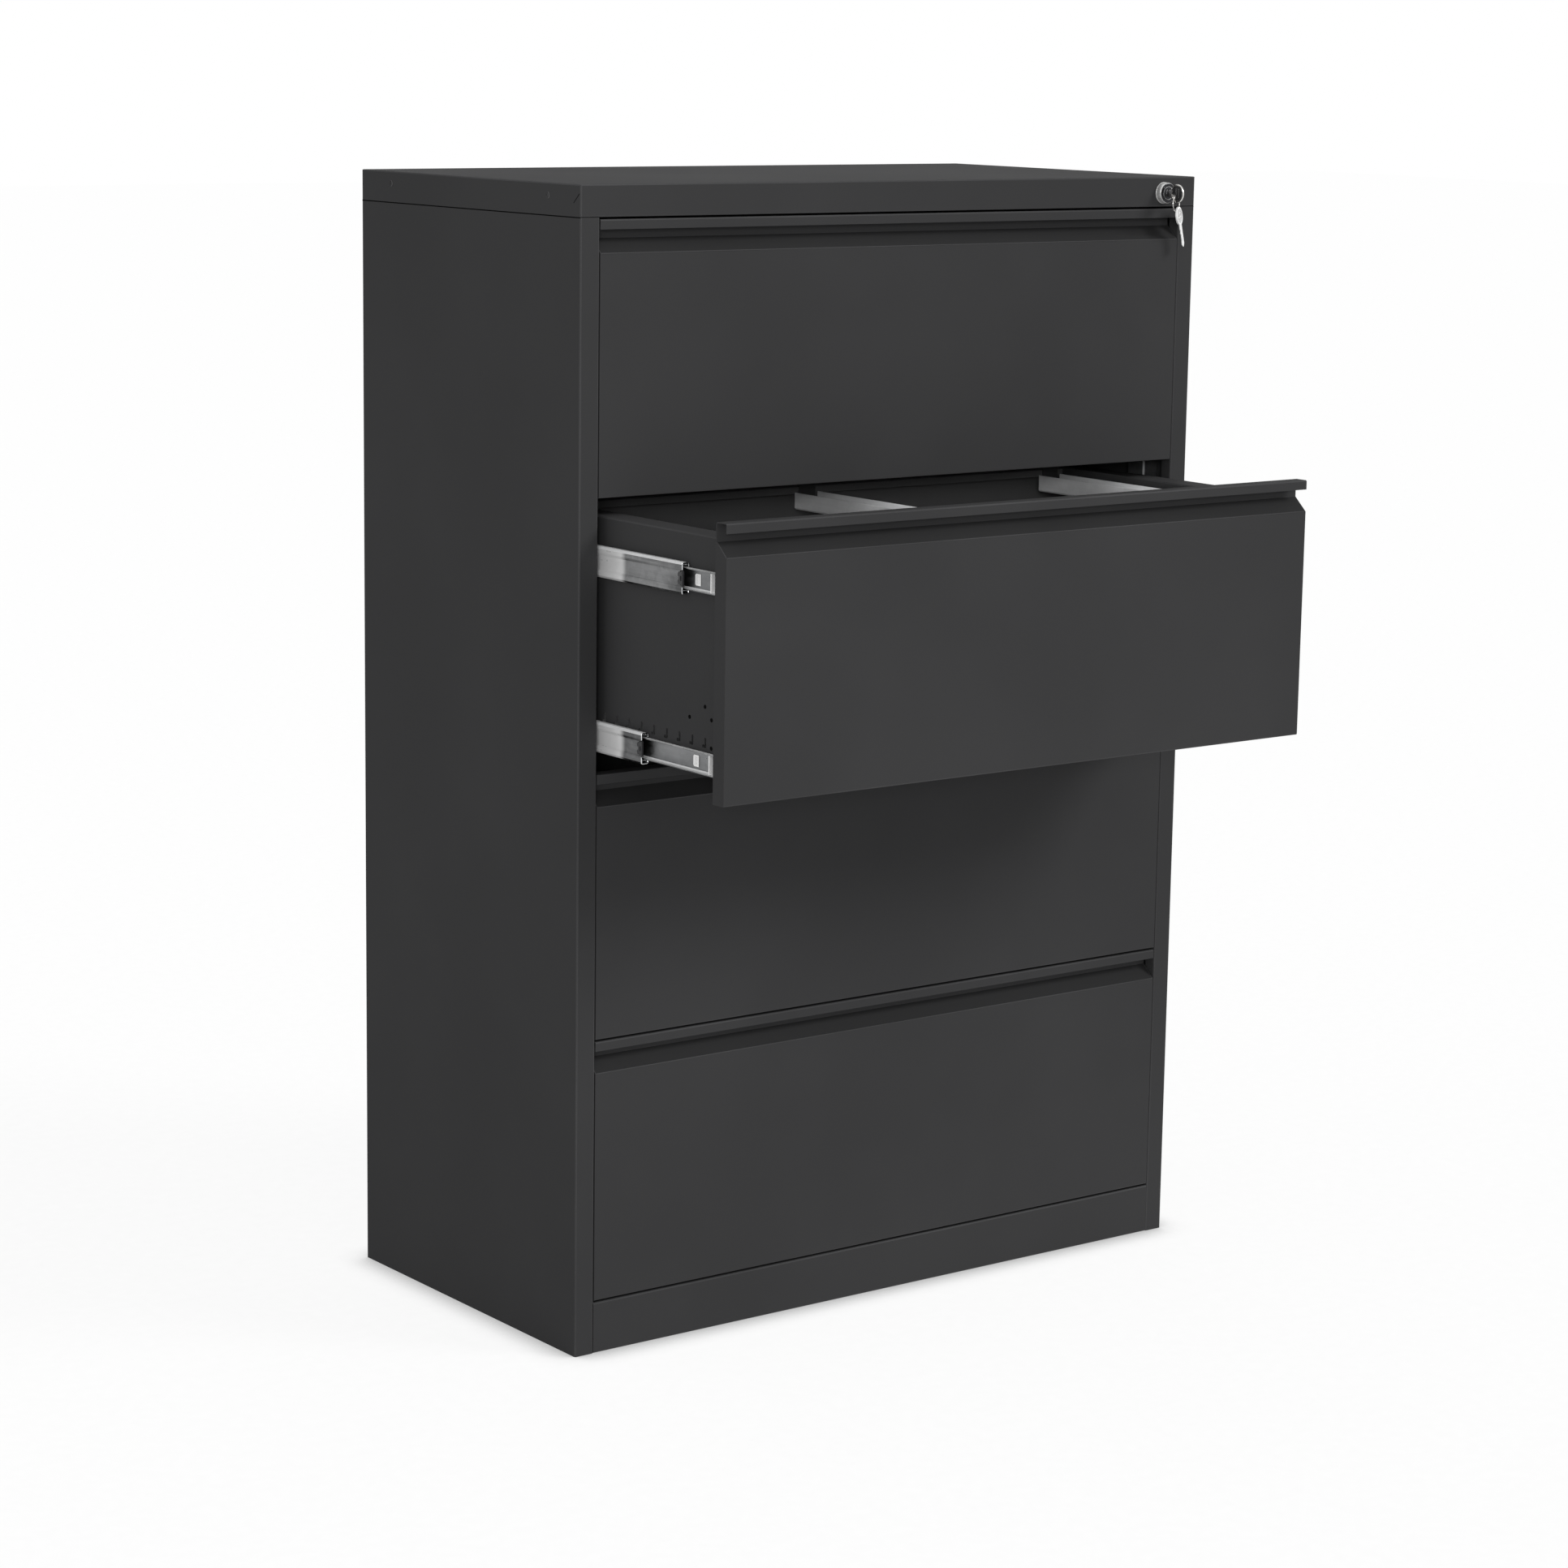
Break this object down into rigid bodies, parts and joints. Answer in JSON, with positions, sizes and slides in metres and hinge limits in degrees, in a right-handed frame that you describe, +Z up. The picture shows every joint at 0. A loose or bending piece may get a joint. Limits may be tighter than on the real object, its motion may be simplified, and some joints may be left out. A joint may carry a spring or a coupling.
{
  "type": "lateral filing cabinet",
  "caption": "Wide dark grey steel filing cabinet with lipped drawers on telescopic slides, hanging-file bars and a central key lock; one drawer stands partly open.",
  "frame": {"origin": "middle of the footprint on the floor, the partly open drawer counted in", "axes": "+Z up, front faces -Y, +X to the right of a person facing the front"},
  "size_m": [0.9, 0.7, 1.33],
  "materials": {
    "paint": "fine satin powder coat, dark grey",
    "zinc": "bright galvanised steel",
    "chrome": "polished chrome",
    "nickel": "nickel-plated brass"
  },
  "bodies": {
    "cabinet": {"left_side_panel": "paint", "right_side_panel": "paint", "top_panel": "paint", "base_pan": "paint", "back_panel": "paint", "left_slide_rack": "zinc", "right_slide_rack": "zinc", "lock_barrel": "chrome"},
    "drawer_1": {"drawer_1_front": "paint", "drawer_1_left_side": "paint", "drawer_1_right_side": "paint", "drawer_1_bottom": "paint", "drawer_1_back": "paint", "drawer_1_file_bar_1": "zinc", "drawer_1_file_bar_2": "zinc"},
    "drawer_1_upper_members": {"drawer_1_upper_left_slide": "zinc", "drawer_1_upper_right_slide": "zinc"},
    "drawer_1_lower_members": {"drawer_1_lower_left_slide": "zinc", "drawer_1_lower_right_slide": "zinc"},
    "drawer_2": {"drawer_2_front": "paint", "drawer_2_left_side": "paint", "drawer_2_right_side": "paint", "drawer_2_bottom": "paint", "drawer_2_back": "paint", "drawer_2_file_bar_1": "zinc", "drawer_2_file_bar_2": "zinc"},
    "drawer_2_upper_members": {"drawer_2_upper_left_slide": "zinc", "drawer_2_upper_right_slide": "zinc"},
    "drawer_2_lower_members": {"drawer_2_lower_left_slide": "zinc", "drawer_2_lower_right_slide": "zinc"},
    "drawer_3": {"drawer_3_front": "paint", "drawer_3_left_side": "paint", "drawer_3_right_side": "paint", "drawer_3_bottom": "paint", "drawer_3_back": "paint", "drawer_3_file_bar_1": "zinc", "drawer_3_file_bar_2": "zinc"},
    "drawer_3_upper_members": {"drawer_3_upper_left_slide": "zinc", "drawer_3_upper_right_slide": "zinc"},
    "drawer_3_lower_members": {"drawer_3_lower_left_slide": "zinc", "drawer_3_lower_right_slide": "zinc"},
    "drawer_4": {"drawer_4_front": "paint", "drawer_4_left_side": "paint", "drawer_4_right_side": "paint", "drawer_4_bottom": "paint", "drawer_4_back": "paint", "drawer_4_file_bar_1": "zinc", "drawer_4_file_bar_2": "zinc"},
    "drawer_4_upper_members": {"drawer_4_upper_left_slide": "zinc", "drawer_4_upper_right_slide": "zinc"},
    "drawer_4_lower_members": {"drawer_4_lower_left_slide": "zinc", "drawer_4_lower_right_slide": "zinc"},
    "lock_core": {"lock_plug": "chrome", "lock_cam": "zinc"},
    "lock_bar": {"lock_bar": "zinc"},
    "key": {"key": "nickel"},
    "key_ring": {"key_ring": "nickel"}
  },
  "joints": [
    {"name": "drawer_1_slide", "type": "slide", "parent": "cabinet", "child": "drawer_1", "axis": [0, -1, 0], "range_m": [0, 0.4]},
    {"name": "drawer_1_upper_members_slide", "type": "slide", "parent": "cabinet", "child": "drawer_1_upper_members", "axis": [0, -1, 0], "range_m": [0, 0.2005]},
    {"name": "drawer_1_lower_members_slide", "type": "slide", "parent": "cabinet", "child": "drawer_1_lower_members", "axis": [0, -1, 0], "range_m": [0, 0.2005]},
    {"name": "drawer_2_slide", "type": "slide", "parent": "cabinet", "child": "drawer_2", "axis": [0, -1, 0], "range_m": [-0.24, 0.16]},
    {"name": "drawer_2_upper_members_slide", "type": "slide", "parent": "cabinet", "child": "drawer_2_upper_members", "axis": [0, -1, 0], "range_m": [-0.1795, 0.11983]},
    {"name": "drawer_2_lower_members_slide", "type": "slide", "parent": "cabinet", "child": "drawer_2_lower_members", "axis": [0, -1, 0], "range_m": [-0.1055, 0.0705]},
    {"name": "drawer_3_slide", "type": "slide", "parent": "cabinet", "child": "drawer_3", "axis": [0, -1, 0], "range_m": [0, 0.4]},
    {"name": "drawer_3_upper_members_slide", "type": "slide", "parent": "cabinet", "child": "drawer_3_upper_members", "axis": [0, -1, 0], "range_m": [0, 0.2005]},
    {"name": "drawer_3_lower_members_slide", "type": "slide", "parent": "cabinet", "child": "drawer_3_lower_members", "axis": [0, -1, 0], "range_m": [0, 0.2005]},
    {"name": "drawer_4_slide", "type": "slide", "parent": "cabinet", "child": "drawer_4", "axis": [0, -1, 0], "range_m": [0, 0.4]},
    {"name": "drawer_4_upper_members_slide", "type": "slide", "parent": "cabinet", "child": "drawer_4_upper_members", "axis": [0, -1, 0], "range_m": [0, 0.2005]},
    {"name": "drawer_4_lower_members_slide", "type": "slide", "parent": "cabinet", "child": "drawer_4_lower_members", "axis": [0, -1, 0], "range_m": [0, 0.2005]},
    {"name": "lock_turn", "type": "hinge", "parent": "cabinet", "child": "lock_core", "pos_m": [0.399, -0.11, 1.311], "axis": [0, -1, 0], "range_deg": [0, 90.5]},
    {"name": "lock_bar_lift", "type": "slide", "parent": "cabinet", "child": "lock_bar", "axis": [0, 0, 1], "range_m": [0, 0.02263]},
    {"name": "key_pull", "type": "slide", "parent": "lock_core", "child": "key", "axis": [0, -1, 0], "range_m": [0, 0.03]},
    {"name": "ring_swing", "type": "hinge", "parent": "key", "child": "key_ring", "pos_m": [0.399, -0.1298, 1.3059], "axis": [1, 0, 0], "range_deg": [-45, 10]}
  ],
  "couplings": [
    {"joint": "drawer_1_upper_members_slide", "follows": "drawer_1_slide", "ratio": 0.5},
    {"joint": "drawer_1_lower_members_slide", "follows": "drawer_1_slide", "ratio": 0.5},
    {"joint": "drawer_2_upper_members_slide", "follows": "drawer_2_slide", "ratio": 0.74583},
    {"joint": "drawer_2_lower_members_slide", "follows": "drawer_2_slide", "ratio": 0.4375},
    {"joint": "drawer_3_upper_members_slide", "follows": "drawer_3_slide", "ratio": 0.5},
    {"joint": "drawer_3_lower_members_slide", "follows": "drawer_3_slide", "ratio": 0.5},
    {"joint": "drawer_4_upper_members_slide", "follows": "drawer_4_slide", "ratio": 0.5},
    {"joint": "drawer_4_lower_members_slide", "follows": "drawer_4_slide", "ratio": 0.5},
    {"joint": "lock_turn", "follows": "lock_bar_lift", "rad_per_m": 69.42}
  ]
}
